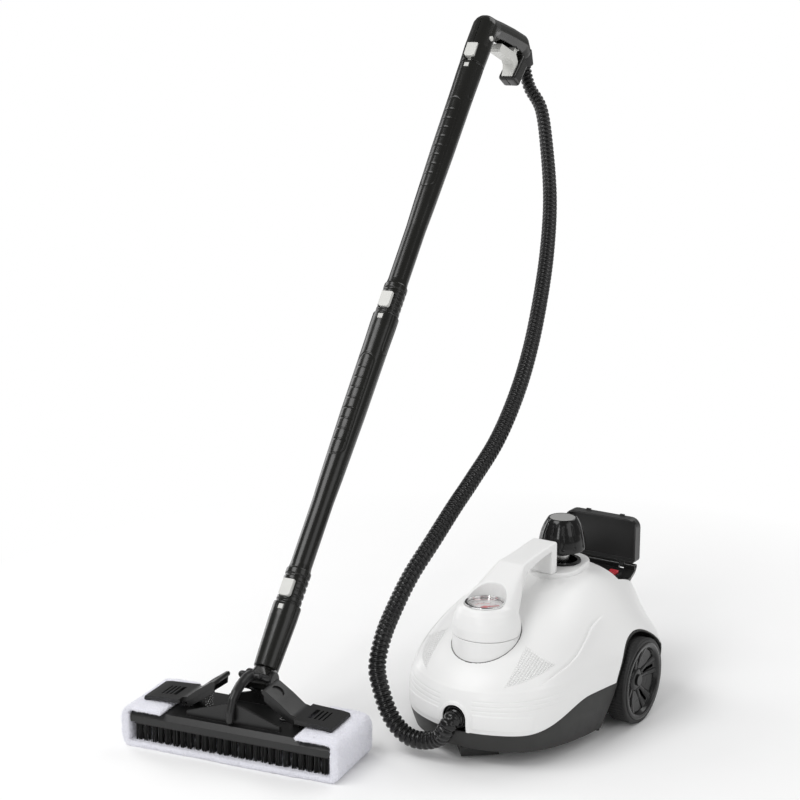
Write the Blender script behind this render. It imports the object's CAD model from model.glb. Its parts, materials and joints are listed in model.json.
# A canister steam cleaner: a white body on two wheels and a caster, a ribbed hose, a two-piece
# wand and a mop head with a cloth. Lengths are in millimetres unless a comment says otherwise.
# +Z is up, the floor is z = 0, the body's front (hose end) faces -Y and its left side is +X.
import json
import math

import bpy
import numpy as np
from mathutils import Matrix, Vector

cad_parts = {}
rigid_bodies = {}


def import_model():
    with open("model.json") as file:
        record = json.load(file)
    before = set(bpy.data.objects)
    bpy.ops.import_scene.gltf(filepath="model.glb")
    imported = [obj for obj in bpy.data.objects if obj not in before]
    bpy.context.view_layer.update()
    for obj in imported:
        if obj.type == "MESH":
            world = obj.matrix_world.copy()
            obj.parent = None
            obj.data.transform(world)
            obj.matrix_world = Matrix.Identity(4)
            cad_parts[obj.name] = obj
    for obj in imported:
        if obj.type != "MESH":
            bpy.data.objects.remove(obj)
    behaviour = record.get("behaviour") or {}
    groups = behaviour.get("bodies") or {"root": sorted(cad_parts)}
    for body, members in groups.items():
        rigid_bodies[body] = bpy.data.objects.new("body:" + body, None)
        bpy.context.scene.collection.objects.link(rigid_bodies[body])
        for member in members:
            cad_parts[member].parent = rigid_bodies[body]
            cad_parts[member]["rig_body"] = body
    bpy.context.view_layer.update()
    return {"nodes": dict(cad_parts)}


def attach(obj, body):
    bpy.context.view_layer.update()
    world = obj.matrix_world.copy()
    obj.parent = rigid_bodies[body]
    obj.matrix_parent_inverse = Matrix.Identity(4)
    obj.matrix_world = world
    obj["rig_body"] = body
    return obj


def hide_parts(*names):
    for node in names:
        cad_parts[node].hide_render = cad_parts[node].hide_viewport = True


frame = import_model()
NODES = frame["nodes"]
BODY = {name: node["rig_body"] for name, node in NODES.items()}
rng = np.random.default_rng(7)

# ------------------------------------------------------------------ main places and sizes
MM = 0.001
# The part's origin is under the middle of the footprint; shapes are drawn from a point
# on the floor under the wheel axle, and this moves them across.
ORIGIN_SHIFT = np.array([136.926, -51.176, 0.0])

# Wand frame: z runs up the wand, -y is the button side, z = 0 is the upper tube's top joint.
WAND_ORIGIN = np.array([-327.406, 318.23, 848.586])
WAND_AXES = np.array([
    [0.99446, -0.08063, -0.06740],
    [0.10509, 0.76298, 0.63782],
    [0, -0.64137, 0.76723]])
WAND_JOINTS = (0.0, -448.0, -901.4)     # top joint, middle joint, foot joint

# Mop head frame: x along the head, y across it, turned about z.
HEAD_X, HEAD_Y = -254, -363.1
HEAD_TURN = math.radians(9.725)

AXLE_Z = 59
HOSE_Z = 65                 # centre of the hose opening in the nose
HOSE_OPENING = 17.2         # its radius
POD_Y = -176                # centre of the round pod on the nose
POD_RADIUS = 45.2
POD_GAP = (44.6, 46.2)      # radii of the dark line round the pod
GAUGE_Y = -180
FILLER_Y = 31               # axis of the filler neck and cap
BOSS_Y = 24                 # point inside the filler boss from which its outline is swept
BOSS_TOP = 196.5


def wand_to_body(points):
    return np.asarray(points, float) @ WAND_AXES.T + WAND_ORIGIN


def head_to_body(points):
    x, y, z = np.moveaxis(np.asarray(points, float), -1, 0)
    cos, sin = math.cos(HEAD_TURN), math.sin(HEAD_TURN)
    return np.stack([HEAD_X + x * cos - y * sin, HEAD_Y + x * sin + y * cos, z], -1)


def smoothstep(t):
    t = np.clip(t, 0, 1)
    return t * t * (3 - 2 * t)


# ------------------------------------------------------------------ shader nodes
class Shader:
    """A node tree, with short calls for the nodes used here."""

    def __init__(self, owner):
        owner.use_nodes = True
        self.owner = owner
        self.tree = owner.node_tree
        self.tree.nodes.clear()

    def feed(self, socket, value):
        """Links a socket, or sets a plain value; colours are given as RGB."""
        if isinstance(value, bpy.types.NodeSocket):
            self.tree.links.new(value, socket)
        else:
            socket.default_value = value + (1,) if socket.type == "RGBA" else value

    def node(self, kind, inputs=None, **settings):
        node = self.tree.nodes.new("ShaderNode" + kind)
        for key, value in settings.items():
            setattr(node, key, value)
        for socket, value in (inputs or {}).items():
            self.feed(node.inputs[socket], value)
        return node

    def noise(self, vector, scale, detail=3.0, rough=0.5):
        return self.node("TexNoise", {"Scale": scale, "Detail": detail, "Roughness": rough,
                                      "Vector": vector}).outputs["Fac"]

    def remap(self, value, from_min, from_max, to_min=0, to_max=1):
        return self.node("MapRange", {"From Min": from_min, "From Max": from_max,
                                      "To Min": to_min, "To Max": to_max,
                                      "Value": value}).outputs[0]

    def math(self, operation, *values):
        return self.node("Math", dict(enumerate(values)), operation=operation).outputs[0]

    def mix(self, factor, first, second):
        inputs = {0: factor, 6: first, 7: second}
        return self.node("Mix", inputs, data_type="RGBA").outputs[2]

    def mix_shaders(self, factor, first, second):
        return self.node("MixShader", {0: factor, 1: first, 2: second}).outputs[0]

    def bump(self, height, strength, distance, normal=None):
        inputs = {"Strength": strength, "Distance": distance, "Height": height}
        if normal:
            inputs["Normal"] = normal
        return self.node("Bump", inputs).outputs[0]

    def attribute(self, name, output):
        return self.node("Attribute", attribute_name=name).outputs[output]

    def object_coords(self):
        return self.node("TexCoord").outputs["Object"]

    def axes(self, vector):
        return self.node("SeparateXYZ", {0: vector}).outputs


MATERIALS = {}


def principled_shader(name):
    shader = Shader(bpy.data.materials.new(name))
    shader.output = shader.node("OutputMaterial")
    shader.principled = shader.node("BsdfPrincipled")
    shader.feed(shader.output.inputs[0], shader.principled.outputs[0])
    MATERIALS[name] = shader.owner
    return shader


def surface(name, colour, rough, vary=0.1, grain=700.0, bump=0.12, depth=0.0001, metal=0.0,
            wear=0.2, worn=None, swing=0.07, stretch=None, sheen=0.0, spec=0.5, details=None):
    """A lightly uneven surface with worn edges.

    vary: colour variation; grain, bump, depth: scale, strength and depth (metres) of the fine
    bump; stretch: scale of the grain per axis; wear, worn: amount and colour of edge wear;
    swing: roughness variation; details: adds to the colour and the normal.
    """
    shader = principled_shader(name)
    coords = shader.object_coords()
    grain_coords = coords
    if stretch:
        grain_coords = shader.node("Mapping", {0: coords, "Scale": stretch}).outputs[0]
    broad = shader.noise(coords, 9.0, detail=2.0)
    patchy = shader.noise(coords, 70.0, detail=5.0, rough=0.6)
    fine = shader.noise(grain_coords, grain, rough=0.6)

    dark = tuple(max(0, c * (1 - vary)) for c in colour)
    light = tuple(min(1, c * (1 + vary)) for c in colour)
    mixed = shader.mix(shader.remap(broad, 0.3, 0.7), dark, light)
    mixed = shader.mix(shader.remap(patchy, 0.45, 0.8, to_max=0.35), mixed, dark)
    pointiness = shader.node("NewGeometry").outputs["Pointiness"]
    edge = shader.remap(pointiness, 0.52, 0.6, to_max=wear)
    edge = shader.math("MULTIPLY", edge, shader.remap(patchy, 0.4, 0.6, to_min=0.3))
    worn = worn or tuple(min(1, c * 1.5 + 0.02) for c in colour)
    mixed = shader.mix(edge, mixed, worn)

    roughness = shader.math("ADD", shader.remap(patchy, 0.3, 0.7, rough - swing, rough + swing),
                            shader.math("MULTIPLY", edge, 0.15))
    normal = shader.bump(fine, bump, depth)
    if details:
        mixed, normal = details(shader, coords, mixed, normal)
    for socket, value in {
            "Base Color": mixed, "Roughness": roughness, "Normal": normal, "Metallic": metal,
            "IOR": 1.46, "Coat Roughness": 0.12, "Sheen Weight": sheen,
            "Specular IOR Level": spec}.items():
        shader.feed(shader.principled.inputs[socket], value)
    return shader


def shell_details(shader, coords, colour, normal):
    """Diamond relief in the grip fields and the dark line round the pod."""
    mask = shader.attribute("grip", "Fac")
    u, v, _ = shader.axes(shader.attribute("gripuv", "Vector"))
    waves = [shader.math("ABSOLUTE", shader.math("SINE", shader.math(operation, u, v)))
             for operation in ("ADD", "SUBTRACT")]
    diamonds = shader.math("POWER", shader.math("MULTIPLY", *waves), 0.6)
    height = shader.math("MULTIPLY", diamonds, mask)
    normal = shader.bump(height, strength=0.8, distance=0.0014, normal=normal)
    colour = shader.mix(shader.attribute("gap", "Fac"), colour, (0.02, 0.02, 0.02))
    return shader.mix(shader.math("MULTIPLY", height, 0.10), colour, (1, 1, 1)), normal


def cloth_details(shader, coords, colour, normal):
    """Small round loops, tinted towards their rims."""
    cells = shader.node("TexVoronoi", {"Scale": 520.0, "Vector": coords}).outputs["Distance"]
    height = shader.math("SUBTRACT", 1.0, cells)
    tint = shader.remap(cells, 0.2, 0.9, to_max=0.35)
    return (shader.mix(tint, colour, (0.62, 0.62, 0.72)),
            shader.bump(height, strength=0.8, distance=0.0012, normal=normal))


def dial_details(shader, coords, colour, normal):
    """Printed ticks every 27 degrees and a red arc round the gauge axis (metres)."""
    x, y, _ = shader.axes(coords)
    x = shader.math("ADD", x, -ORIGIN_SHIFT[0] * MM)
    y = shader.math("ADD", y, -(GAUGE_Y + ORIGIN_SHIFT[1]) * MM)
    squares = [shader.math("MULTIPLY", axis, axis) for axis in (x, y)]
    radius = shader.math("SQRT", shader.math("ADD", *squares))
    angle = shader.math("ARCTAN2", y, x)

    def between(inner, outer):
        return shader.math("MULTIPLY", shader.math("GREATER_THAN", radius, inner),
                           shader.math("LESS_THAN", radius, outer))

    wave = shader.math("MULTIPLY", shader.math("SUBTRACT", angle, math.radians(45)), 180 / 27)
    tick = shader.math("LESS_THAN", shader.math("ABSOLUTE", shader.math("SINE", wave)), 0.16)
    ticks = shader.math("MULTIPLY", tick, between(0.0165, 0.0205))
    colour = shader.mix(ticks, colour, (0.02, 0.02, 0.02))
    arc = shader.math("MULTIPLY", between(0.0150, 0.0160),
                      shader.math("GREATER_THAN", angle, math.radians(100)))
    return shader.mix(arc, colour, (0.6, 0.03, 0.04)), normal


def lens_material():
    """Clear glass that casts no shadow."""
    shader = principled_shader("lens")
    smudges = shader.noise(shader.object_coords(), 200)
    for socket, value in {
            "Transmission Weight": 1.0, "IOR": 1.35, "Base Color": (0.97, 0.97, 0.97),
            "Roughness": shader.remap(smudges, 0.4, 0.7, 0.01, 0.06)}.items():
        shader.feed(shader.principled.inputs[socket], value)
    shader.feed(shader.output.inputs[0], shader.mix_shaders(
        shader.node("LightPath").outputs["Is Shadow Ray"], shader.principled.outputs[0],
        shader.node("BsdfTransparent").outputs[0]))


# ------------------------------------------------------------------ materials
WHITE = dict(colour=(0.80, 0.80, 0.795), vary=0.012, grain=1500, bump=0.05, wear=0.15,
             worn=(0.9, 0.9, 0.9), swing=0.05)
surface("white_shell", rough=0.34, details=shell_details, **WHITE)
surface("white", rough=0.33, **{**WHITE, "wear": 0.12})
surface("charcoal", (0.021, 0.021, 0.020), rough=0.46, vary=0.08, grain=2200, bump=0.25,
        depth=0.00012, swing=0.04)
surface("black_gloss", (0.006, 0.006, 0.006), rough=0.16, grain=1600, bump=0.03,
        depth=0.00006, wear=0.12, swing=0.025)
surface("black_satin", (0.010, 0.010, 0.0098), rough=0.30, grain=2000, swing=0.04)
surface("wand_black", (0.0085, 0.0085, 0.0072), rough=0.23, grain=2200, bump=0.08,
        depth=0.00008, wear=0.25, worn=(0.05, 0.05, 0.045), swing=0.03)
surface("head_black", (0.012, 0.012, 0.012), rough=0.33, grain=1900, bump=0.18,
        wear=0.25, worn=(0.06, 0.06, 0.06), swing=0.04)
surface("light_grey", (0.60, 0.60, 0.575), rough=0.38, vary=0.03, grain=1800,
        worn=(0.75, 0.75, 0.73))
surface("red", (0.52, 0.035, 0.05), rough=0.27, vary=0.08, grain=1500, bump=0.08,
        wear=0.25, worn=(0.75, 0.2, 0.2))
surface("hose", (0.006, 0.006, 0.006), rough=0.20, grain=1400, bump=0.06,
        wear=0.15, worn=(0.04, 0.04, 0.04), swing=0.04)
surface("rubber", (0.011, 0.011, 0.011), rough=0.55, grain=1400, bump=0.25,
        depth=0.00015, swing=0.05)
surface("lid_black", (0.030, 0.030, 0.030), rough=0.36, vary=0.08, grain=1700, bump=0.05,
        depth=0.00008, wear=0.15, swing=0.04)
surface("steel_grey", (0.30, 0.30, 0.295), rough=0.45, vary=0.04, grain=1800, bump=0.08,
        depth=0.00008, wear=0.1, swing=0.04)
surface("wheel_black", (0.009, 0.009, 0.009), rough=0.24, grain=1800, bump=0.08,
        depth=0.00008, swing=0.03)
surface("bristle", (0.006, 0.006, 0.006), rough=0.38, vary=0.3, grain=1500, bump=0.1,
        depth=0.0002, wear=0.0, swing=0.1)
surface("steel", (0.62, 0.62, 0.61), rough=0.26, vary=0.05, grain=900, bump=0.10,
        depth=0.00005, metal=1.0, wear=0.1, stretch=(1, 1, 30))
surface("chrome", (0.80, 0.80, 0.80), rough=0.10, vary=0.03, grain=900, bump=0.02,
        depth=0.00003, metal=1.0, wear=0.05, swing=0.04)
surface("brass", (0.72, 0.52, 0.20), rough=0.24, vary=0.08, grain=900, bump=0.08,
        depth=0.00005, metal=1.0, wear=0.1)
surface("cloth", (0.83, 0.83, 0.885), rough=0.92, vary=0.03, grain=260, bump=0.5,
        depth=0.0012, wear=0.0, sheen=0.5, details=cloth_details)
surface("fuzz", (0.85, 0.85, 0.90), rough=0.9, vary=0.03, grain=300, bump=0.0,
        depth=0.0002, wear=0.0, sheen=0.3)
surface("dial", (0.62, 0.60, 0.60), rough=0.42, vary=0.03, bump=0.03, depth=0.0002,
        wear=0.0, details=dial_details)
lens_material()


# ------------------------------------------------------------------ mesh tools
def add_mesh(name, points, faces, node, material, replaces=True, fields=None, smooth=True,
             wall=None, wall_offset=-1.0):
    """Adds a mesh drawn in millimetres, riding with a CAD node and, by default, replacing it.

    fields are per-point attributes; wall is the thickness of an added solid wall.
    """
    points = (np.asarray(points, float) + ORIGIN_SHIFT) * MM
    faces = np.asarray(faces)
    mesh = bpy.data.meshes.new(name)
    mesh.vertices.add(len(points))
    mesh.vertices.foreach_set("co", points.astype(np.float32).ravel())
    mesh.loops.add(faces.size)
    mesh.loops.foreach_set("vertex_index", faces.astype(np.int32).ravel())
    mesh.polygons.add(len(faces))
    starts = np.arange(0, faces.size, faces.shape[1], dtype=np.int32)
    mesh.polygons.foreach_set("loop_start", starts)
    mesh.update(calc_edges=True)
    mesh.validate()
    mesh.polygons.foreach_set("use_smooth", np.full(len(mesh.polygons), smooth))
    for key, values in (fields or {}).items():
        is_vector = values.ndim == 2
        layer = mesh.attributes.new(key, "FLOAT_VECTOR" if is_vector else "FLOAT", "POINT")
        layer.data.foreach_set("vector" if is_vector else "value",
                               values.astype(np.float32).ravel())
    obj = bpy.data.objects.new(name, mesh)
    bpy.context.scene.collection.objects.link(obj)
    mesh.materials.append(MATERIALS[material])
    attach(obj, BODY[node])
    if replaces:
        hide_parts(node)
    if wall:
        solidify = obj.modifiers.new("wall", "SOLIDIFY")
        solidify.thickness, solidify.offset = wall * MM, wall_offset


def grid_faces(rows, columns, wrap=True):
    """Quads of a grid of points; wrap joins the last column to the first."""
    i, j = np.meshgrid(np.arange(rows - 1), np.arange(columns if wrap else columns - 1),
                       indexing="ij")
    i, j = i.ravel() * columns, j.ravel()
    after = (j + 1) % columns
    return np.stack([i + j, i + after, i + columns + after, i + columns + j], 1)


def triangulate(quads):
    return np.concatenate([quads[:, [0, 1, 2]], quads[:, [0, 2, 3]]])


def clip(mesh, keep):
    """Trims (points, triangles, fields) to where keep(x, y, z) is not negative."""
    points, triangles, fields = mesh
    value = keep(*points.T)
    inside = value[triangles] >= 0
    count = inside.sum(1)

    def turned(number, find):
        """Triangles with that many corners inside, turned to start at the odd corner."""
        chosen = count == number
        corner = find(inside[chosen], 1)
        rows = triangles[chosen]
        return np.stack([rows[np.arange(len(rows)), (corner + k) % 3] for k in range(3)], 1)

    one, two = turned(1, np.argmax), turned(2, np.argmin)
    kept = [triangles[count == 3]]
    pairs = np.concatenate([rows[:, [0, k]] for rows in (one, two) for k in (1, 2)])
    if len(pairs):
        edges, index = np.unique(np.sort(pairs, 1), axis=0, return_inverse=True)
        start, end = edges.T
        share = value[start] / (value[start] - value[end])
        one_a, one_b, two_a, two_b = np.split(
            index.ravel() + len(points), np.cumsum([len(one), len(one), len(two)]))
        kept += [np.stack([one[:, 0], one_a, one_b], 1),
                 np.stack([two_a, two[:, 1], two[:, 2]], 1),
                 np.stack([two_a, two[:, 2], two_b], 1)]

        def extended(field):
            cuts = (field[start].T * (1 - share) + field[end].T * share).T
            return np.concatenate([field, cuts])

        points = extended(points)
        fields = {key: extended(field) for key, field in fields.items()}
    triangles = np.concatenate(kept)
    used = np.zeros(len(points), bool)
    used[triangles.ravel()] = True
    renumber = np.cumsum(used) - 1
    return (points[used], renumber[triangles],
            {key: field[used] for key, field in fields.items()})


def turn(count):
    """Evenly spaced angles of a full turn."""
    return np.arange(count) * 2 * math.pi / count


def circle(radius, centre_y, angles):
    return np.stack([radius * np.cos(angles), centre_y + radius * np.sin(angles)], 1)


def level(outline, z):
    """Lifts an (x, y) outline to a height, or to one height per point."""
    return np.column_stack([outline, np.broadcast_to(z, len(outline))])


def lathe(profile, segments=96, radius_at=None):
    """Turns a list of (radius, z) round z; returns points and quads."""
    profile = np.asarray(profile, float)
    angles = turn(segments)
    radius = np.repeat(profile[:, :1], segments, 1)
    if radius_at is not None:
        radius = radius_at(profile[:, :1], profile[:, 1:2], angles[None, :])
    z = np.repeat(profile[:, 1:2], segments, 1)
    points = np.stack([radius * np.cos(angles), radius * np.sin(angles), z], -1)
    return points.reshape(-1, 3), grid_faces(len(profile), segments)


def subdivide(profile, step=1.0):
    """Adds points along the straight runs of a profile."""
    profile = np.asarray(profile, float)
    runs = [profile[:1]]
    for start, end in zip(profile[:-1], profile[1:]):
        count = max(1, int(math.ceil(np.linalg.norm(end - start) / step)))
        runs.append(start + (end - start) * (np.arange(1, count + 1) / count)[:, None])
    return np.concatenate(runs)


def rounded(profile, radius=0.8, steps=4):
    """Rounds the corners of a profile."""
    corners = [np.asarray(corner, float) for corner in profile]
    points = [corners[0]]
    for before, corner, after in zip(corners[:-2], corners[1:-1], corners[2:]):
        length_in, length_out = np.linalg.norm(before - corner), np.linalg.norm(after - corner)
        reach = min(radius, length_in * 0.45, length_out * 0.45)
        start = corner + (before - corner) / length_in * reach
        end = corner + (after - corner) / length_out * reach
        for k in range(steps + 1):
            t = k / steps
            points.append(start * (1 - t) ** 2 + corner * 2 * t * (1 - t) + end * t * t)
    return np.array(points + [corners[-1]])


def smooth_path(stations, steps, spacing):
    """Catmull-Rom curve through the stations, evenly spaced; returns points and distances."""
    stations = np.asarray(stations, float)
    final = len(stations) - 1
    curve = []
    for i in range(final):
        a, b, c, d = (stations[min(max(i + k, 0), final)] for k in (-1, 0, 1, 2))
        for k in range(steps):
            t = k / steps
            curve.append(0.5 * (2 * b + (c - a) * t + (2 * a - 5 * b + 4 * c - d) * t * t
                                + (3 * b - a - 3 * c + d) * t ** 3))
    curve = np.array(curve + [stations[-1]])
    lengths = np.linalg.norm(np.diff(curve, axis=0), axis=1)
    along = np.concatenate([[0], np.cumsum(lengths)])
    distance = np.linspace(0, along[-1], int(along[-1] / spacing))
    return np.stack([np.interp(distance, along, axis) for axis in curve.T], 1), distance


def tangents(path):
    direction = np.gradient(path, axis=0)
    return direction / np.linalg.norm(direction, axis=1)[:, None]


def cap_ends(rings, first, last):
    """Joins rings of points into a closed skin with a centre point at each end."""
    rows, columns = rings.shape[:2]
    j = np.arange(columns)
    after = (j + 1) % columns
    final, centre = (rows - 1) * columns, np.full(columns, rows * columns)
    points = np.concatenate([rings.reshape(-1, 3), [first, last]])
    return points, np.concatenate([triangulate(grid_faces(rows, columns)),
                                   np.stack([after, j, centre], 1),
                                   np.stack([final + j, final + after, centre + 1], 1)])


def tube(path, distance, radius_at, segments):
    """Tube along a path, without twist, with radius_at(distance, angle)."""
    direction = tangents(path)
    across = np.cross(direction[0], [0.3, 0.9, 0.1])
    sideways = [across / np.linalg.norm(across)]
    for step in direction[1:]:
        across = sideways[-1] - step * (sideways[-1] @ step)
        sideways.append(across / np.linalg.norm(across))
    sideways = np.array(sideways)
    other = np.cross(direction, sideways)
    angles = turn(segments)
    radius = np.broadcast_to(radius_at(distance[:, None], angles[None, :]),
                             (len(path), segments))
    rings = path[:, None] + radius[..., None] * (
        sideways[:, None] * np.cos(angles)[None, :, None]
        + other[:, None] * np.sin(angles)[None, :, None])
    return cap_ends(rings, path[0], path[-1])


# ------------------------------------------------------------------ body surface
# Rows run from the bottom edge to the crown; each holds (x, y, z) from the front middle round
# the left side to the back middle. The right side is the mirror image.
BODY_CAGE = np.array([
    [[0,-246,22],[52,-234,22],[90,-206,21],[113,-150,19],[121,-84,15],
     [126,-15,14],[122,50,16],[102,104,24],[60,132,30],[0,140,32]],
    [[0,-256,48],[54,-243,48],[96,-213,48],[119,-151,49],[129,-82,50],
     [140,-15,50],[140,50,50],[110,112,52],[66,146,54],[0,153,54]],
    [[0,-257,72],[54,-244,72],[98,-212,73],[120,-151,75],[132,-82,77],
     [147,-15,80],[147,50,80],[110,110,80],[66,148,82],[0,156,82]],
    [[0,-254,94],[54,-241,94],[96,-209,96],[118,-149,99],[130,-80,103],
     [146,-12,105],[145,52,102],[102,106,104],[62,147,106],[0,156,108]],
    [[0,-244,109],[51,-232,110],[89,-201,112],[111,-144,117],[121,-76,122],
     [129,-8,126],[122,46,124],[92,102,122],[58,142,124],[0,155,126]],
    [[0,-224,128],[46,-212,130],[79,-184,134],[99,-132,139],[107,-70,143],
     [110,-5,146],[103,45,144],[82,98,142],[55,138,142],[0,152,142]],
    [[0,-192,146],[40,-180,149],[68,-156,154],[83,-114,160],[87,-60,165],
     [86,0,167],[82,44,164],[72,86,158],[53,132,157],[0,146,157]],
    [[0,-146,165],[32,-136,168],[54,-118,173],[62,-84,179],[62,-44,184],
     [60,6,185],[58,40,182],[54,72,176],[42,104,175],[0,118,175]],
    [[0,-84,182],[18,-80,184],[32,-68,186],[38,-46,189],[38,-20,190],
     [38,6,190],[36,28,189],[30,50,187],[20,68,187],[0,76,187]]], float)
CROWN_TOP = np.array([0, 0, 191.0])
CROWN_RINGS = 24
BELLY_MIDDLE = np.array([0, -40, 18.0])
SKIN_ROWS, SKIN_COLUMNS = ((300, 1080))


def spline_controls():
    """Control points that pull a cubic B-spline surface onto the cage."""
    full = np.concatenate([BODY_CAGE, BODY_CAGE[:, -2:0:-1] * np.array([-1, 1, 1])], 1)
    around = full - (np.roll(full, 1, 1) - 2 * full + np.roll(full, -1, 1)) / 6
    both = around.copy()
    both[1:-1] = around[1:-1] - (around[2:] - 2 * around[1:-1] + around[:-2]) / 6
    return np.concatenate([2 * both[:1] - both[1:2], both, 2 * both[-1:] - both[-2:-1]], 0)


CONTROLS = spline_controls()
CAGE_SPANS, CAGE_COLUMNS = len(BODY_CAGE) - 1, CONTROLS.shape[1]


def spline_weights(t):
    return np.stack([(1 - t) ** 3, 3 * t ** 3 - 6 * t * t + 4,
                     -3 * t ** 3 + 3 * t * t + 3 * t + 1, t ** 3]) / 6


def body_surface(up, around):
    row = np.minimum(up.astype(int), CAGE_SPANS - 1)
    column = np.floor(around).astype(int) % CAGE_COLUMNS
    row_weights = spline_weights(up - row)
    column_weights = spline_weights(around - np.floor(around))
    total = 0
    for k in range(4):
        for m in range(4):
            weight = (row_weights[k][:, None] * column_weights[m][None, :])[..., None]
            total = total + weight * CONTROLS[row + k][:, (column - 1 + m) % CAGE_COLUMNS]
    return total


def seam_z(y):
    """Height of the seam between the shell and the base."""
    rise = smoothstep((y + 61) / 123)
    return np.where(y < 0, 47.5 + 29.5 * smoothstep((y + 228) / 108) + 9 * rise,
                    77 + 18 * rise)


def hose_distance(x, z, straight):
    """Distance from the hose opening's centre, or from its middle line where straight."""
    return np.where(straight, np.abs(x), np.hypot(x, z - HOSE_Z))


rows_up = np.linspace(0, CAGE_SPANS, SKIN_ROWS)
columns_round = np.arange(SKIN_COLUMNS) * float(CAGE_COLUMNS) / SKIN_COLUMNS
skin = body_surface(rows_up, columns_round)
skin_normal = np.cross((np.roll(skin, -1, 1) - np.roll(skin, 1, 1)) / 2,
                       np.gradient(skin, axis=0))
skin_normal /= np.linalg.norm(skin_normal, axis=2)[..., None] + 1e-12

# ------------------------------------------------------------------ relief on the shell
# Stations of the swept crease on each flank: (|x|, y, z), front to back.
CREASE = np.array([
    (89.2, -205.9, 107.7), (94.7, -194.4, 110.6), (101.8, -169.9, 117.6),
    (106.8, -143.4, 123.8), (107.5, -123.0, 130.6), (105.6, -103.0, 138.9),
    (103.5, -88.0, 144.7), (100.5, -71.8, 150.6), (99.5, -51.7, 153.9), (98.8, -31.0, 155.9)])
NOSE_LINES = (90.5, 84.5, 78.5)         # heights of the fine lines across the nose
# Corners of the grip field on each shoulder: (row up, column round) of the cage.
GRIP_CORNERS = [(3.85, 1.10), (5.95, 1.54), (4.58, 2.62)]
GRIP_SCALE = np.array([1.0, 1.6])       # evens out the two directions


def crease_distance(points):
    """Distance from the crease and the fraction of the way along it."""
    nearest, fraction = np.full(points.shape[:-1], 1e9), np.zeros(points.shape[:-1])
    spans = len(CREASE) - 1
    for k in range(spans):
        start, run = CREASE[k], CREASE[k + 1] - CREASE[k]
        t = np.clip(((points - start) @ run) / (run @ run), 0, 1)
        distance = np.linalg.norm(points - start - t[..., None] * run, axis=-1)
        closer = distance < nearest
        nearest = np.where(closer, distance, nearest)
        fraction = np.where(closer, (k + t) / spans, fraction)
    return nearest, fraction


def shell_relief(points):
    """Outward displacement of the skin, from its points mirrored to the left side."""
    x, y, z = np.moveaxis(points, -1, 0)
    # Raised lip round the hose opening.
    opening = hose_distance(x, z, z < HOSE_Z)
    lip = 1.7 * (1 - smoothstep((opening - (HOSE_OPENING + 3.0)) / 2.0))
    relief = np.where(y < -195, lip, 0)
    # Crease: a soft swell below the line and a fine groove along its upper side.
    distance, fraction = crease_distance(points)
    crease_z = np.interp(y, CREASE[:, 1], CREASE[:, 2])
    amount = (smoothstep(fraction / 0.25) * smoothstep((1 - fraction) / 0.2)
              * (np.abs(y + 115) < 100))
    swell = amount * 1.5 * np.exp(-(distance / 9.0) ** 2) * smoothstep(distance / 1.5 + 0.3)
    groove = amount * 0.9 * np.exp(-(distance / 2.6) ** 2)
    relief += np.where(z < crease_z, swell, -groove)
    # Fine lines across the nose, and the raised panel below them.
    nose = smoothstep((-150 - y) / 50)
    curve = 4 * (x / 100) ** 2
    for line_z in NOSE_LINES:
        line = np.exp(-((z - (line_z + curve)) / 0.8) ** 2)
        relief -= 0.45 * nose * line * (x > 24)
    relief += (0.7 * smoothstep((74 - z) / 1.6) * smoothstep((z - 53) / 1.2)
               * smoothstep((95 - x) / 2.5) * smoothstep((x - 24) / 2) * (y < -170))
    # Gentle shoulder line where the nose turns up.
    relief += 0.35 * nose * np.exp(-((z - 101 - curve) / 2.2) ** 2)
    return relief


def grip_mask():
    """1 inside the grip triangles, fading to 0 at their edges."""
    folded = np.minimum(columns_round, CAGE_COLUMNS - columns_round)
    up, around = np.meshgrid(rows_up, folded * GRIP_SCALE[1], indexing="ij")
    corners = np.array(GRIP_CORNERS) * GRIP_SCALE
    depth = np.full(up.shape, 1e9)
    for k in range(3):
        start, end, opposite = (corners[(k + m) % 3] for m in range(3))
        normal = np.array([end[1] - start[1], -(end[0] - start[0])])
        normal = normal / np.linalg.norm(normal)
        if (opposite - start) @ normal < 0:
            normal = -normal
        depth = np.minimum(depth, (up - start[0]) * normal[0] + (around - start[1]) * normal[1])
    return smoothstep(depth / 0.12)


mirrored = np.stack([np.abs(skin[..., 0]), skin[..., 1], skin[..., 2]], -1)
shell_rows = skin + skin_normal * shell_relief(mirrored)[..., None]
pod_distance = np.hypot(skin[..., 0], skin[..., 1] - POD_Y)
on_gap = (pod_distance > POD_GAP[0]) & (pod_distance < POD_GAP[1])
GRIP_DIRECTIONS = np.array([[0.62, 0.78, 0.0], [-0.45, 0.36, 0.82], [0, 0, 0]])
shell_fields = {"grip": grip_mask(), "gripuv": mirrored @ GRIP_DIRECTIONS.T * 0.62,
                "gap": on_gap * (skin[..., 2] > 100).astype(float)}


# ------------------------------------------------------------------ upper shell
def boss_distance(x, y):
    """Signed distance to the tapered oval of the filler boss."""
    t = np.clip((y - 8) / 34, 0, 1)
    return np.hypot(x, y - (8 + 34 * t)) - (39 - 5 * t)


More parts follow.
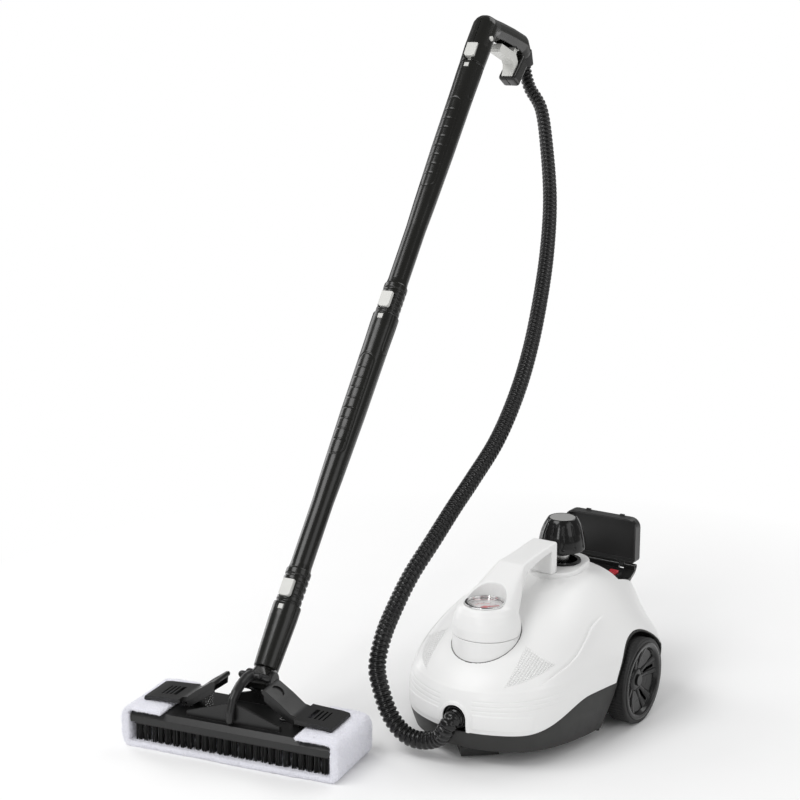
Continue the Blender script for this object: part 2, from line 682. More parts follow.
def crowned_shell():
    """The shell rows closed over the top with rings and a crown point."""
    t = np.linspace(0, 1, CROWN_RINGS + 1)[1:-1, None, None]
    rows = np.concatenate([shell_rows, shell_rows[-1][None] * (1 - t) + CROWN_TOP * t], 0)
    points = np.concatenate([rows.reshape(-1, 3), CROWN_TOP[None]])
    j = np.arange(SKIN_COLUMNS)
    final = (len(rows) - 1) * SKIN_COLUMNS
    fan = np.stack([final + j, final + (j + 1) % SKIN_COLUMNS,
                    np.full(SKIN_COLUMNS, len(points) - 1)], 1)
    triangles = np.concatenate([triangulate(grid_faces(len(rows), SKIN_COLUMNS)), fan])
    fields = {}
    for key, field in shell_fields.items():
        flat = field.reshape((-1,) + field.shape[2:])
        padding = np.zeros((len(points) - len(flat),) + flat.shape[1:])
        fields[key] = np.concatenate([flat, padding])
    return points, triangles, fields


SHELL_CUTS = (
    # below the seam
    lambda x, y, z: z - seam_z(y) - 0.25,
    # wheel arches
    lambda x, y, z: np.where(np.abs(x) > 100, np.hypot(y, z - AXLE_Z) - 68.8, 99),
    # hose opening
    lambda x, y, z: np.where(y < -190, hose_distance(x, z, z < HOSE_Z) - HOSE_OPENING, 99),
    # opening in the top at the back
    lambda x, y, z: np.maximum(np.maximum(np.abs(x) - 66, 77 - y), 153.6 - z),
    # under the filler boss
    lambda x, y, z: np.where(z > 150, boss_distance(x, y) + 3.0, 99))
mesh = crowned_shell()
for shell_cut in SHELL_CUTS:
    mesh = clip(mesh, shell_cut)
add_mesh("shell_skin", *mesh[:2], "upper_shell", "white_shell", fields=mesh[2], wall=2.4)


def filler_boss():
    count = 240
    angles = turn(count)
    low, high = np.zeros(count), np.full(count, 120.0)
    for _ in range(40):     # halve the range until each ray meets the oval
        middle = (low + high) / 2
        inside = boss_distance(*circle(middle, BOSS_Y, angles).T) < 0
        low, high = np.where(inside, middle, low), np.where(inside, high, middle)
    profile = rounded([(0, 178), (0, BOSS_TOP), (-13, BOSS_TOP)], radius=3.2, steps=8)
    rings = [level(circle(low + inset, BOSS_Y, angles), z)
             for inset, z in subdivide(profile, 1.5)]
    hole = circle(27.4, FILLER_Y, angles)
    rim = rings[-1][:, :2]
    rings += [level(rim * (1 - t) + hole * t, BOSS_TOP) for t in np.linspace(0, 1, 8)[1:]]
    rings += [level(hole, z) for z in (196.0, 192, 186, 180)]
    add_mesh("filler_boss", np.array(rings).reshape(-1, 3), grid_faces(len(rings), count),
             "upper_shell", "white", replaces=False)


filler_boss()

# ------------------------------------------------------------------ base and wheel wells
WELL_RADIUS = 66
WELL_WALL_X = 107.2         # inner wall of the wells


def well_distance(y, z):
    legs = np.maximum.reduce([(-(y + 82) + (z - 8) * (18 / 67)) * 0.966,
                              ((y - 82) + (z - 8) * (16 / 67)) * 0.966, z - 75])
    return np.minimum(np.hypot(y, z - AXLE_Z) - WELL_RADIUS, legs)


BASE_CUTS = (
    # above the seam
    lambda x, y, z: seam_z(y) - 0.25 - z,
    # wheel wells
    lambda x, y, z: np.where(np.abs(x) > 106.5, well_distance(y, z), 9),
    # hose opening
    lambda x, y, z: np.where(y < -190, hose_distance(x, z, z > HOSE_Z) - HOSE_OPENING, 99),
    # round hole over the caster
    lambda x, y, z: np.where(z < 30, np.hypot(x, y + 200) - 16, 99))
t = np.linspace(0, 1, 60)[:-1, None, None]
base_rows = np.concatenate([skin[0][None] * t + BELLY_MIDDLE * (1 - t),
                            skin[:SKIN_ROWS // 2 + 20]], 0)
mesh = (base_rows.reshape(-1, 3), triangulate(grid_faces(len(base_rows), SKIN_COLUMNS)), {})
for base_cut in BASE_CUTS:
    mesh = clip(mesh, base_cut)
add_mesh("base_skin", *mesh[:2], "base_pan", "charcoal", wall=3.0)


def well_outline(gap):
    """(y, z) of a well's edge: a front leg, the arch and a back leg, listed back to front."""
    arch = circle(WELL_RADIUS + gap, AXLE_Z,
                  np.linspace(math.radians(-17), math.radians(197), 160))
    arch = arch[arch[:, 1] > 62]
    back = np.linspace([83 + gap, 12], arch[0], 24)[:-1]
    front = np.linspace(arch[-1], [-83 - gap, 12], 24)[1:]
    return np.concatenate([back, arch, front])


def skin_x(outline):
    """x of the left skin nearest to each (y, z)."""
    near = skin[:, :SKIN_COLUMNS // 2 + 1].reshape(-1, 3)
    near = near[(np.abs(near[:, 1]) < 100) & (near[:, 2] < 150)]
    found = np.empty(len(outline))
    for i in range(0, len(outline), 16):
        y, z = outline[i:i + 16, :1], outline[i:i + 16, 1:]
        distance = (near[None, :, 1] - y) ** 2 + (near[None, :, 2] - z) ** 2
        found[i:i + 16] = near[np.argmin(distance, 1), 0]
    return found


def wheel_wells():
    edge, flange = well_outline(0), well_outline(2.2)
    edge_x, flange_x = skin_x(edge), skin_x(flange)

    def upright(x, outline):
        return np.column_stack([np.broadcast_to(x, len(outline)), outline])

    rows = [upright(flange_x - 6, flange), upright(flange_x - 2.6, flange),
            upright(edge_x - 1.4, edge)]
    rows += [upright((edge_x - 1.4) * (1 - t) + WELL_WALL_X * t, edge)
             for t in np.linspace(0, 1, 14)[1:]]
    # The inner wall closes towards a point, slightly dished.
    rows += [upright(WELL_WALL_X - 1.2 * math.sin(t * math.pi),
                     edge * (1 - t) + np.array([0, 30.0]) * t)
             for t in np.linspace(0, 1, 10)[1:]]
    points = np.array(rows).reshape(-1, 3)
    faces = grid_faces(len(rows), len(edge), wrap=False)
    for side, name in ((1, "well_left"), (-1, "well_right")):
        add_mesh(name, points * np.array([side, 1, 1]), faces[:, ::side], "base_pan",
                 "charcoal", replaces=False, wall=1.6, wall_offset=0.0)


wheel_wells()


# ------------------------------------------------------------------ pod ring
def shell_z(outline):
    """Height of the nose shell at each (x, y), from the six nearest points."""
    top = shell_rows[SKIN_ROWS // 3:].reshape(-1, 3)
    top = top[(top[:, 1] < -100) & (np.abs(top[:, 0]) < 80)]
    heights = []
    for x, y in outline:
        distance = (top[:, 0] - x) ** 2 + (top[:, 1] - y) ** 2
        nearest = np.argsort(distance)[:6]
        weight = 1 / (distance[nearest] + 1e-3)
        heights.append((top[nearest, 2] * weight).sum() / weight.sum())
    return np.array(heights)


def pod_ring():
    count = 180
    angles = turn(count)
    outline = circle(POD_RADIUS, POD_Y, angles)
    foot = shell_z(outline) - 1.6
    rows = [level(outline, foot * (1 - t) + 156.9 * t) for t in (0.0, 0.25, 0.5, 0.75, 0.93)]
    bead = 0.7
    for k in range(6):
        tilt = k / 5 * math.pi / 2
        ring = circle(POD_RADIUS - bead + bead * math.cos(tilt), POD_Y, angles)
        rows.append(level(ring, np.maximum(156.1 + bead * math.sin(tilt), foot)))
    rows += [level(circle(radius, POD_Y, angles), z)
             for radius, z in ((43.6, 156.75), (42.4, 156.75), (42.3, 146.0))]
    add_mesh("pod_ring", np.array(rows).reshape(-1, 3), grid_faces(len(rows), count),
             "pod_base_ring", "white")


pod_ring()

# ------------------------------------------------------------------ filler cap and plug
CAP_RADIUS = 33.5
# (radius, z) from the socket inside, round the skirt and up to the sunken top.
CAP_PROFILE = [(12.4, 234), (12.4, 216), (14, 214.6)] + [
    (CAP_RADIUS - inset, z) for inset, z in (
        (1.2, 214.6), (0, 216.5), (0.3, 221), (1.8, 231), (4.2, 241), (7.8, 250),
        (11, 256), (13.2, 259.2), (14.4, 260), (15.4, 259.2))] + [(0.01, 259.2)]
PLUG_BOTTOM, PLUG_SHOULDER, THREAD_PITCH = 186.9, 209, 1.8


def cap_radius(radius, z, angle):
    """Twelve finger grooves down the cap's skirt."""
    fade = smoothstep((z - 219) / 5) * smoothstep((255 - z) / 5)
    groove = np.clip(np.cos(12 * angle) - 0.72, 0, 1) / 0.28
    return radius - 1.15 * fade * groove ** 0.8 * (radius > 17)


points, faces = lathe(subdivide(rounded(CAP_PROFILE, 1.6, 5), 0.9), 360, cap_radius)
add_mesh("filler_cap", points + [0, FILLER_Y, 0], faces, "boiler_cap", "black_gloss")
disc = rounded([(0.01, 260.0), (17.0, 260.0), (17.8, 259.4)], 0.4, 3)
points, faces = lathe(subdivide(disc, 0.8), 128)
add_mesh("cap_disc", points + [0, FILLER_Y, -0.1], faces[:, ::-1], "boiler_cap", "steel_grey",
         replaces=False)
thread = [(7.9 - 0.45 * (0.5 + 0.5 * math.cos(2 * math.pi * z / THREAD_PITCH)), z)
          for z in np.arange(PLUG_BOTTOM, PLUG_SHOULDER, 0.22)]
plug = [(0.01, PLUG_BOTTOM)] + thread + [(12.0, PLUG_SHOULDER), (12.1, 210), (12.1, 234),
                                         (0.01, 234)]
points, faces = lathe(plug, 72)
add_mesh("plug_brass", points + [0, FILLER_Y, 0], faces, "cap_plug", "brass")

# ------------------------------------------------------------------ wheels
SPOKE_PITCH, SPOKE_TURN = 72, 13        # degrees
# Plain face of the rim: radius and distance out along the axle.
RIM_RADII = [0, 10, 13, 16, 30, 44, 46.2, 48, 50.6, 52.2]
RIM_X = [134.6, 134.6, 133.8, 131.4, 133.6, 138.4, 140.4, 143.6, 144.1, 143.4]
# (radius, distance along the axle) of the barrel behind the face, and of the tyre.
BARREL_PROFILE = [(52.2, 143.3), (51.9, 142), (51.9, 117), (48.5, 116), (47, 122),
                  (15, 124.5), (13.8, 117), (4.2, 117), (4.2, 134.5)]
TYRE_PROFILE = [(52.0, 116.6), (53, 116.1), (57, 116.1), (58.6, 116.9), (59, 118.6),
                (59, 142.6), (58.2, 144.5), (56.2, 145), (53.0, 144.8), (52.2, 143.6)]


def on_axle(points, side):
    """Lays a shape turned round z onto the wheel axle."""
    return np.stack([points[:, 2] * side, points[:, 0], AXLE_Z + points[:, 1]], 1)


def rim_face():
    """The left rim face with five flat petals, slotted between them."""
    radii = np.concatenate([np.linspace(4.2, 14, 12), np.linspace(14, 47, 60)[1:],
                            np.linspace(47, 52.2, 20)[1:]])
    radius, angle = np.meshgrid(radii, turn(540), indexing="ij")
    half = SPOKE_PITCH // 2
    phase = (np.degrees(angle) - SPOKE_TURN) % SPOKE_PITCH
    # 0 at a slot, half the pitch at the middle of a petal
    phase = np.where(phase > half, SPOKE_PITCH - phase, phase)
    plain = np.interp(radius, RIM_RADII, RIM_X)
    petal = smoothstep((phase - 15.5) / 1.6)
    along_petal = radius * np.cos(np.radians(half - phase))
    flat = np.interp(along_petal, [0, 14, 45], [129.8, 130.0, 137.4])
    middle = smoothstep((radius - 14.5) / 1.5) * smoothstep((45.8 - radius) / 1.2)
    x = plain * (1 - petal * middle) + np.minimum(flat, plain) * petal * middle
    # Raised ground between the slots and the petals.
    x = x + 0.9 * middle * (1 - petal) * smoothstep((phase - 6.5) / 3)
    points = np.stack([x, radius * np.cos(angle), AXLE_Z + radius * np.sin(angle)], -1)
    along_slot = radius * np.cos(np.radians(phase))
    slot = np.maximum.reduce([np.abs(radius * np.sin(np.radians(phase))) - 2.6,
                              20.5 - along_slot, along_slot - 41.5])
    mesh = (points.reshape(-1, 3), triangulate(grid_faces(*radius.shape)), {})
    return clip(mesh, lambda x, y, z: slot.ravel())[:2]


def tread_radius(radius, z, angle):
    """Shallow blocks across the tread, parted by a groove round the middle."""
    block = np.clip(np.cos(72 * angle) * 4, -1, 1) * 0.5 + 0.5
    band = ((z > 119.5) & (z < 140.5)).astype(float)
    beside_groove = 1 - ((z > 129.4) & (z < 131.6)).astype(float)
    return radius - 0.45 * band * (1 - block * beside_groove) * (radius > 57)


SIDES = ((1, "left"), (-1, "right"))
face_points, face_triangles = rim_face()
barrel_points, barrel_faces = lathe(subdivide(rounded(BARREL_PROFILE, 1.0, 4), 3), 120)
for side, word in SIDES:
    add_mesh("rim_" + word, face_points * np.array([side, 1, 1]), face_triangles[:, ::side],
             "wheel_" + word, "wheel_black", wall=2.2)
    add_mesh(f"rim_{word}_barrel", on_axle(barrel_points, side), barrel_faces[:, ::-side],
             "wheel_" + word, "black_satin", replaces=False)
points, faces = lathe(subdivide(rounded(TYRE_PROFILE, 1.0, 4), 0.8), 720, tread_radius)
for side, word in SIDES:
    add_mesh("tread_" + word, on_axle(points, side), faces[:, ::-side], "tyre_" + word,
             "rubber")

# ------------------------------------------------------------------ hose and cord
# Stations (x, y, z) of the hose, from the wand's top end to the nose.
HOSE_PATH = [
    (-349.3, 526, 866), (-350.5, 535, 840), (-340, 533, 812), (-313, 524, 778),
    (-285, 494, 716), (-252, 446, 642), (-222, 384, 571), (-195, 314, 504), (-173, 244, 440),
    (-153, 168, 387), (-142, 93, 336), (-138, 17, 295), (-135, -37, 269), (-134, -95, 235),
    (-138, -144, 199), (-138, -186, 163), (-133, -221, 135), (-127, -244, 103),
    (-112, -257, 78), (-96, -263, 52), (-78, -265, 34), (-59, -264, 25), (-38, -262, 26),
    (-18, -263, 36), (-5, -268, 52), (0, -264, 63), (0, -244, HOSE_Z)]
HOSE_PITCH = 7.6
# Stations of the cord before and after its coil behind the body.
CORD_START = [(-40, 138, 55), (-40, 160, 55), (-42, 176, 44), (-50, 186, 22), (-58, 200, 8)]
CORD_END = [(-66, 226, 26), (-92, 219, 13), (-104, 217, 12), (-116, 216, 12)]
CORD_RADIUS = 3.35

path, distance = smooth_path(HOSE_PATH, 40, spacing=0.62)
hose_length = distance[-1]


def hose_radius(distance, angle):
    """Ribs that widen towards the body, with a faint groove along one side."""
    outer = 10.5 + 1.4 * smoothstep(distance / (hose_length * 0.35))
    rib = 0.5 + 0.5 * np.cos(2 * math.pi * distance / HOSE_PITCH)
    rib = np.clip(rib * 1.5, 0, 1) ** 0.8
    offset = (angle - 0.9 + math.pi) % (2 * math.pi) - math.pi
    return outer - 2.3 * (1 - rib) - 0.3 * np.exp(-(offset / 0.16) ** 2) * rib


add_mesh("ribbed_hose", *tube(path, distance, hose_radius, 40), "steam_hose", "hose")

coil = []
for k in range(32):
    angle = math.radians(k * 45 - 20)
    spread = 1 + 0.04 * math.sin(math.radians(k * 70))
    coil.append((-20 - 38 * math.cos(angle) * spread, 205 - 34 * math.sin(angle),
                 4.5 + 0.9 * k))
path, distance = smooth_path(CORD_START + coil + CORD_END, 12, spacing=1.6)
add_mesh("mains_cord", *tube(path, distance, lambda *_: CORD_RADIUS, 20), "power_cord",
         "rubber")

# ------------------------------------------------------------------ wand tubes
COLLAR_RADIUS, TUBE_RADIUS = 19.5, 15.2
GROOVE_RADIUS, BEAD_RADIUS = 16.4, 17.6     # ribbed sleeve at the lower end
SLEEVE_BEADS = (12, 21.4, 31, 40.6)         # start of each 5 mm bead above the lower joint
CATCH_HALF = 4.7                            # half size of the square catch window
BUTTON_HALF_X, BUTTON_HALF_Z = 8.9, 12.7    # half size of the button pocket
BUTTON_Z = 27.1                             # its centre above the lower joint
PANEL_TOP, PANEL_BOTTOM, PANEL_HALF = -62.0, -222.0, 12.0
BOX_SIDES = [(0, 1, 5, 4), (1, 2, 6, 5), (2, 3, 7, 6)]


def tube_profile(top, bottom):
    """(radius, z) up the spigot and sleeve, along the tube and over the top collar."""
    profile = [(6, bottom - 26), (12.75, bottom - 26), (12.75, bottom + 8.6),
               (GROOVE_RADIUS, bottom + 8.6)]
    for start in SLEEVE_BEADS:
        profile += [(GROOVE_RADIUS, bottom + start - 1), (BEAD_RADIUS, bottom + start),
                    (BEAD_RADIUS, bottom + start + 5), (GROOVE_RADIUS, bottom + start + 6)]
    profile += [(GROOVE_RADIUS, bottom + 49), (BEAD_RADIUS, bottom + 50),
                (BEAD_RADIUS, bottom + 57.4), (16, bottom + 59), (TUBE_RADIUS, bottom + 66),
                (TUBE_RADIUS, top - 290), (16.4, top - 250), (18.2, top - 150),
                (18.9, top - 40), (COLLAR_RADIUS, top - 12), (COLLAR_RADIUS, top + 6.8),
                (COLLAR_RADIUS - 1.0, top + 8), (13.2, top + 8), (12.9, top + 6),
                (12.9, top - 20)]
    return rounded(profile)


def wand_tube(name, top, bottom, node):
    def radius_at(radius, z, angle):
        radius = radius + 0 * angle
        z = z - top
        x = radius * np.cos(angle)
        outer = radius > 14.5
        # Outline of the long grip panel on the button side, and grooves across it.
        beyond = z - np.clip(z, PANEL_BOTTOM + PANEL_HALF, PANEL_TOP - PANEL_HALF)
        from_edge = np.hypot(x, beyond) - PANEL_HALF
        across = np.zeros_like(radius)
        for k in range(8):
            across = np.maximum(across, np.exp(-((z - (-84.0 - 16.5 * k)) / 0.8) ** 2))
        groove = 0.75 * np.exp(-(from_edge / 0.75) ** 2) + 0.55 * across * (from_edge < -1.2)
        button_side = radius * np.sin(angle) < 0
        radius = radius - np.where(button_side & outer, groove, 0)
        # Outline of a tongue on the collar's +x side.
        arc = radius * np.radians(np.abs((np.degrees(angle) - 350 + 180) % 360 - 180))
        from_edge = np.hypot(arc, np.minimum(z + 48, 0)) - 7.0
        return radius - np.where(outer & (z < 4) & (z > -58),
                                 0.6 * np.exp(-(from_edge / 0.7) ** 2), 0)

    button_z = bottom + BUTTON_Z
    points, quads = lathe(subdivide(tube_profile(top, bottom), 1.1), 144, radius_at)
    mesh = clip((points, triangulate(quads), {}), lambda x, y, z: np.where(
        y < -10, np.maximum(np.abs(x) - CATCH_HALF, np.abs(z - top) - CATCH_HALF), 9))
    mesh = clip(mesh, lambda x, y, z: np.where(
        (y < -8) & (np.hypot(x, y) > 12),
        np.maximum(np.abs(x) - BUTTON_HALF_X, np.abs(z - button_z) - BUTTON_HALF_Z), 9))
    add_mesh(name, wand_to_body(mesh[0]), mesh[1], node, "wand_black", wall=1.2)
    # Box behind the button, open towards it.
    pocket = [(x, y, z) for z in (button_z - BUTTON_HALF_Z, button_z + BUTTON_HALF_Z)
              for x, y in ((-BUTTON_HALF_X, -15.2), (-BUTTON_HALF_X, -8.6),
                           (BUTTON_HALF_X, -8.6), (BUTTON_HALF_X, -15.2))]
    add_mesh(name + "_pocket", wand_to_body(pocket),
             BOX_SIDES + [(0, 3, 2, 1), (4, 5, 6, 7)],
             node, "black_satin", replaces=False, smooth=False)


wand_tube("tube_upper", *WAND_JOINTS[:2], "upper_tube")
wand_tube("tube_lower", *WAND_JOINTS[1:], "lower_tube")

# ------------------------------------------------------------------ bristles
BRISTLE_LENGTH = 282.0      # length of each row along the head
BRISTLE_ROWS = (-43.5, 43.5)
TUFTS, HAIRS = 26, 46       # tufts in a row, hairs in a tuft
HAIR_RADIUS = 0.42


def bristles():
    points, faces = [], []
    pitch = BRISTLE_LENGTH / TUFTS
    for row_y in BRISTLE_ROWS:
        for i in range(TUFTS):
            tuft_x = (-TUFTS / 2 + i + 0.5) * pitch
            offsets_x = rng.uniform(-pitch * 0.33, pitch * 0.33, HAIRS)
            offsets_y = rng.uniform(-3.9, 3.9, HAIRS)
            for x, y in zip(offsets_x, offsets_y):
                root = np.array([tuft_x + x, row_y + y, 33.0])
                tip = root + np.array([x * 0.10 + rng.normal(0, 0.15),
                                       y * 0.12 + rng.normal(0, 0.15),
                                       -25.2 - rng.uniform(0, 0.6)])
                first = len(points)
                for corner in range(3):
                    angle = corner * 2.094
                    offset = np.array([math.cos(angle), math.sin(angle), 0]) * HAIR_RADIUS
                    points += [root + offset, tip + offset * 0.8]
                    near, far = first + 2 * corner, first + 2 * ((corner + 1) % 3)
                    faces.append((near, far, far + 1, near + 1))
    add_mesh("bristle_tufts", head_to_body(points), faces, "bristle_strips", "bristle")


def bristle_backing():
    """A strip above each row of tufts."""
    points, faces = [], []
    half = BRISTLE_LENGTH / 2
    for row_y in BRISTLE_ROWS:
        first = len(points)
        points += [(x, row_y + y, z) for z in (37, 31)
                   for x, y in ((-half, -4.4), (half, -4.4), (half, 4.4), (-half, 4.4))]
        faces += [[first + k for k in face] for face in (
            (0, 1, 2, 3), (7, 6, 5, 4), (0, 4, 5, 1), (1, 5, 6, 2), (2, 6, 7, 3), (3, 7, 4, 0))]
    add_mesh("bristle_backing", head_to_body(points), faces, "bristle_strips", "bristle",
             replaces=False, smooth=False)


bristles()
bristle_backing()

# ------------------------------------------------------------------ mop cloth
# (x, z) of the wrap's middle line: flap on top, round the end, to the middle underneath.
CLOTH_HALF = [(-97, 53.4), (-110, 53.8), (-125, 53.6), (-140, 53.4), (-148.5, 51),
              (-151.8, 45), (-152, 30), (-151.8, 14), (-150.5, 7.6), (-145, 4.3),
              (-130, 4.0), (-60, 4.0)]
CLOTH_LINE = CLOTH_HALF + [(0, 4.0)] + [(-x, z) for x, z in CLOTH_HALF[::-1]]
CLOTH_Y = (-55.2, 53.4)     # the cloth's two long edges
CLOTH_EDGE = 3              # how far the rounded edge reaches in
PUCKERS = ((0.55, 17.0, 3), (0.35, 6.0, 4), (0.28, 2.6, 5))     # height, size, seed


def value_noise(points, scale, seed):
    """Smooth value noise on a repeating lattice."""
    size = 48
    lattice = np.random.default_rng(seed).uniform(-1, 1, (size, size, size))
    cell = np.floor(points / scale).astype(int)
    fade = points / scale - cell
    fade = fade * fade * (3 - 2 * fade)
    total = 0
    for corner in np.ndindex(2, 2, 2):
        weight = np.prod(np.where(corner, fade, 1 - fade), axis=-1)
        index = (cell + np.array(corner)) % size
        total = total + weight * lattice[tuple(np.moveaxis(index, -1, 0))]
    return total


def cloth_section():
    """Columns: y, side (1 inner, -1 outer), and 1 on the rounded long edges."""
    low, high = CLOTH_Y[0] + CLOTH_EDGE, CLOTH_Y[1] - CLOTH_EDGE
    flat = low + (high - low) * np.linspace(0, 1, 84)
    bend = np.linspace(0, math.pi, 11)[1:-1]
    bulge, side = CLOTH_EDGE * np.sin(bend), np.cos(bend)
    parts = ((flat, 1.0, 0), (high + bulge, side, 1), (flat[::-1], -1.0, 0),
             (low - bulge, -side, 1))
    return np.concatenate([np.stack(np.broadcast_arrays(*part), 1) for part in parts])


def cloth_wrap():
    """Adds the wrap and returns its points and triangles in the head's frame."""
    path, distance = smooth_path([(x, 0, z) for x, z in CLOTH_LINE], 10, spacing=1.3)
    direction = tangents(path)
    inward = np.stack([-direction[:, 2], np.zeros(len(path)), direction[:, 0]], 1)
    # Half thickness underneath, on the flaps and at the ends, blended along the wrap.
    half = np.where(path[:, 2] < 6.5, 4.0, np.where(path[:, 2] > 48, 2.7, 5.8))
    half = np.convolve(np.pad(half, 6, mode="edge"), np.ones(13) / 13, mode="valid")
    to_end = np.minimum(distance, distance[-1] - distance)
    taper = np.sqrt(np.clip(1 - (1 - np.clip(to_end / 3.0, 0, 1)) ** 2, 0.02, 1))
    y, side, edge = cloth_section().T[:, None, :]
    rings = (path[:, None, :]
             + inward[:, None, :] * (side * half[:, None] * taper[:, None])[..., None])
    # The long edges wander slightly.
    wander = 1.2 * np.sin(distance / 37.0) + 0.8 * np.sin(distance / 13.0 + 1)
    rings[..., 1] = (y * (1 - 0.03 * (1 - taper))[:, None]
                     + wander[:, None] * (np.abs(y) > 40) * np.sign(y) * 0.5)
    normal = (inward[:, None, :] * side[..., None]
              + np.array([0, 1, 0]) * (np.sign(y) * edge)[..., None])
    pucker = sum(height * value_noise(rings + 500, size, seed)
                 for height, size, seed in PUCKERS)
    outer = (side < 0.2) | (edge > 0)
    rings = rings + normal * (pucker * np.where(outer, 1.0, 0.35))[..., None]
    rings[..., 2] = np.maximum(rings[..., 2], 0.05)
    points, triangles = cap_ends(rings, rings[0].mean(0), rings[-1].mean(0))
    add_mesh("cloth_wrap", head_to_body(points), triangles[:, ::-1], "mop_cloth", "cloth")
    return points, triangles


def cloth_pile(points, triangles):
    """Short bent hairs standing off the cloth."""
    corners = points[triangles]
    cross = np.cross(corners[:, 1] - corners[:, 0], corners[:, 2] - corners[:, 0])
    area = np.linalg.norm(cross, axis=1)
    outward = -cross / (area[:, None] + 1e-12)
    weight = area * (corners.mean(1)[:, 2] > 0.8)
    count = 52000
    pick = rng.choice(len(triangles), count, p=weight / weight.sum())
    u, v = rng.uniform(0, 1, (2, count))
    fold = u + v > 1
    u[fold], v[fold] = 1 - u[fold], 1 - v[fold]
    first, second, third = (corners[pick, k] for k in range(3))
    root = first + (second - first) * u[:, None] + (third - first) * v[:, None]

    def unit(vectors):
        return vectors / np.linalg.norm(vectors, axis=1)[:, None]

    direction = unit(outward[pick] + rng.normal(0, 0.55, (count, 3)))
    length = rng.uniform(0.9, 2.1, count)[:, None]
    sideways = unit(np.cross(direction, rng.normal(0, 1, (count, 3))))
    half = sideways * 0.13      # half the width of a hair
    middle = root + direction * length * 0.55 + sideways * 0.25
    tip = root + direction * length * 0.95 + sideways * 0.8
    for row in (middle, tip):
        row[:, 2] = np.maximum(row[:, 2], 0.15)
    hairs = np.stack([root - half * 1.4, root + half * 1.4, middle + half, middle - half, tip],
                     1)
    start = np.arange(count)[:, None] * 5
    faces = np.concatenate([start + face for face in ([0, 1, 2], [0, 2, 3], [3, 2, 4])])
    add_mesh("cloth_pile", head_to_body(hairs.reshape(-1, 3)), faces, "mop_cloth", "fuzz",
             replaces=False)


cloth_pile(*cloth_wrap())

# ------------------------------------------------------------------ CAD pieces kept as they are
# Moulded pieces: node -> material, voxel size, smoothing passes.
SOFT_NODES = {
    "carry_handle": ("white", 0.9, 10), "gun_shell_left": ("wand_black", 0.8, 8),
    "gun_shell_right": ("wand_black", 0.8, 8), "neck_pipe": ("wand_black", 0.7, 5),
    "yoke": ("head_black", 0.7, 8)}
# Pieces with bevelled edges: material -> node and bevel width.
EDGED_NODES = {
    "chrome": {"gauge_bezel": 0.5},
    "lens": {"gauge_lens": 0.3},
    "dial": {"gauge_dial": 0.1},
    "red": {"gauge_needle": 0.1, "power_rocker": 0.5},
    "rubber": {"cap_seal": 0.3, "caster_roller": 0.4, "cord_plug": 0.6},
    "steel": {"filler_neck": 0.3, "boiler": 0.3, "heater_element": 0.3, "thermostat": 0.3,
              "lid_pin": 0.2, "wheel_axle": 0.3, "caster_pin": 0.3, "trigger_pin": 0.2,
              "clip_pins": 0.3},
    "black_gloss": {"neck_collar": 0.6},
    "black_satin": {"pressure_switch": 0.4, "solenoid_valve": 0.5, "storage_tray": 0.4,
                    "axle_caps": 0.8, "caster_fork": 0.8, "hose_socket": 0.5,
                    "hose_cuffs": 0.6},
    "brass": {"safety_valve": 0.3, "steam_pipes": 0.2},
    "lid_black": {"storage_lid": 0.8},
    "wand_black": {"gun_nozzle": 0.4},
    "light_grey": {"steam_trigger": 1.2, "gun_lock_button": 0.8, "gun_release_button": 1.4,
                   "upper_release_button": 1.4, "lower_release_button": 1.4},
    "head_black": {"tilt_pin": 0.4, "swing_pins": 0.4, "head_plate": 0.7, "clip_left": 0.8,
                   "clip_right": 0.8}}


def finish_node(name, material):
    """Gives a CAD node one material, smooth shading and welded points."""
    obj = NODES[name]
    obj.data.materials.clear()
    obj.data.materials.append(MATERIALS[material])
    count = len(obj.data.polygons)
    obj.data.polygons.foreach_set("material_index", np.zeros(count, np.int32))
    obj.data.polygons.foreach_set("use_smooth", np.ones(count, bool))
    obj.modifiers.new("weld", "WELD").merge_threshold = 0.02 * MM
    return obj.modifiers


for name, (material, voxel, passes) in SOFT_NODES.items():
    modifiers = finish_node(name, material)
    remesh = modifiers.new("remesh", "REMESH")
    remesh.mode, remesh.voxel_size, remesh.use_smooth_shade = "VOXEL", voxel * MM, True
    smooth = modifiers.new("smooth", "SMOOTH")
    smooth.factor, smooth.iterations = 0.5, passes

for material, widths in EDGED_NODES.items():
    for name, width in widths.items():
        modifiers = finish_node(name, material)
        planar = modifiers.new("planar", "DECIMATE")
        planar.decimate_type, planar.angle_limit = "DISSOLVE", math.radians(0.4)
        bevel = modifiers.new("bevel", "BEVEL")
        bevel.width, bevel.segments = width * MM, 3
        bevel.limit_method, bevel.angle_limit = "ANGLE", math.radians(32)
        bevel.use_clamp_overlap = True
        modifiers.new("split", "EDGE_SPLIT").split_angle = math.radians(38)
        modifiers.new("wn", "WEIGHTED_NORMAL").keep_sharp = True

finish_node("clip_springs", "steel")

# ------------------------------------------------------------------ studio (metres)
FLOOR_HALF, FLOOR_POINTS = 9, 90
# name, place, target, width, height, power in watts
LIGHTS = [
    ("key", (-1.0, -1.6, 2.7), (-0.1, 0, 0.2), 1.8, 1.4, 37),
    ("fill_right", (2.4, -0.4, 1.5), (-0.1, 0, 0.3), 1.6, 1.8, 12),
    ("strip_front", (0.25, -2.6, 1.25), (-0.25, 0, 0.45), 0.28, 1.7, 10),
    ("strip_left", (-2.0, 0.2, 0.95), (-0.25, 0, 0.5), 0.7, 1.9, 13),
    ("back_top", (0.4, 1.9, 2.2), (-0.1, 0, 0.3), 2.0, 1.2, 16)]


def shifted(place):
    return Vector(tuple(np.array(place) + ORIGIN_SHIFT * MM))


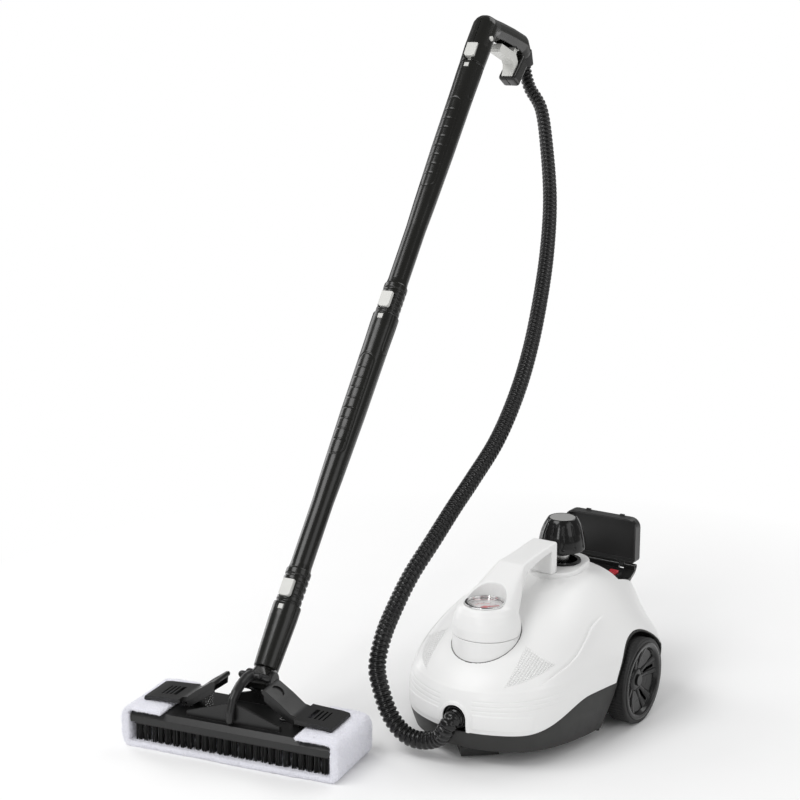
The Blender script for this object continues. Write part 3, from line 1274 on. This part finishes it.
def add_floor():
    """A matt floor that fades to plain white away from the product."""
    mesh = bpy.data.meshes.new("floor")
    line = np.linspace(-FLOOR_HALF, FLOOR_HALF, FLOOR_POINTS)
    x, y = np.meshgrid(line, line, indexing="ij")
    mesh.from_pydata(np.stack([x, y, np.zeros_like(x)], -1).reshape(-1, 3).tolist(), [],
                     grid_faces(FLOOR_POINTS, FLOOR_POINTS, wrap=False).tolist())
    floor = bpy.data.objects.new("floor", mesh)
    bpy.context.scene.collection.objects.link(floor)
    shader = surface("floor_mat", (0.93, 0.93, 0.93), rough=0.55, vary=0.004, grain=60,
                     bump=0.0, depth=0.0002, wear=0.0, swing=0.02, spec=0.3)
    position = shader.node("NewGeometry").outputs["Position"]
    reach = shader.node("VectorMath", {0: position}, operation="LENGTH").outputs["Value"]
    glow = shader.node("Emission", {0: (1, 1, 1), 1: 1.0}).outputs[0]
    shader.feed(shader.output.inputs[0], shader.mix_shaders(
        shader.remap(reach, 0.42, 0.95), shader.principled.outputs[0], glow))
    mesh.materials.append(shader.owner)


def add_light(name, place, target, width, height, power):
    light = bpy.data.lights.new(name, "AREA")
    light.shape = "RECTANGLE"
    light.size, light.size_y, light.energy = width, height, power
    obj = bpy.data.objects.new(name, light)
    obj.location = shifted(place)
    obj.rotation_mode = "QUATERNION"
    direction = shifted(target) - shifted(place)
    obj.rotation_quaternion = direction.to_track_quat("-Z", "Y")
    bpy.context.scene.collection.objects.link(obj)


def add_world():
    """White to the camera, dimmer as light and dimmer still in reflections."""
    world = bpy.data.worlds.new("studio")
    bpy.context.scene.world = world
    shader = Shader(world)
    rays = shader.node("LightPath").outputs
    ambient, reflected, seen = (
        shader.node("Background", {0: (1, 1, 1), 1: strength}).outputs[0]
        for strength in (0.5, 0.22, 1.0))
    lighting = shader.mix_shaders(rays["Is Glossy Ray"], ambient, reflected)
    shader.node("OutputWorld",
                {0: shader.mix_shaders(rays["Is Camera Ray"], lighting, seen)})


def add_camera():
    camera = bpy.data.cameras.new("camera")
    camera.lens, camera.sensor_width = 80.17, 36.0
    obj = bpy.data.objects.new("camera", camera)
    obj.location = shifted((1.1025, -2.0817, 0.9882))
    obj.rotation_euler = (math.radians(76.682), 0, math.radians(33))
    bpy.context.scene.collection.objects.link(obj)
    bpy.context.scene.camera = obj


add_floor()
for light_settings in LIGHTS:
    add_light(*light_settings)
add_world()
add_camera()

scene = bpy.context.scene
scene.view_settings.view_transform = "Standard"
scene.view_settings.look = "None"
scene.view_settings.exposure = 0.0
scene.cycles.use_denoising = True
scene.cycles.max_bounces = 8
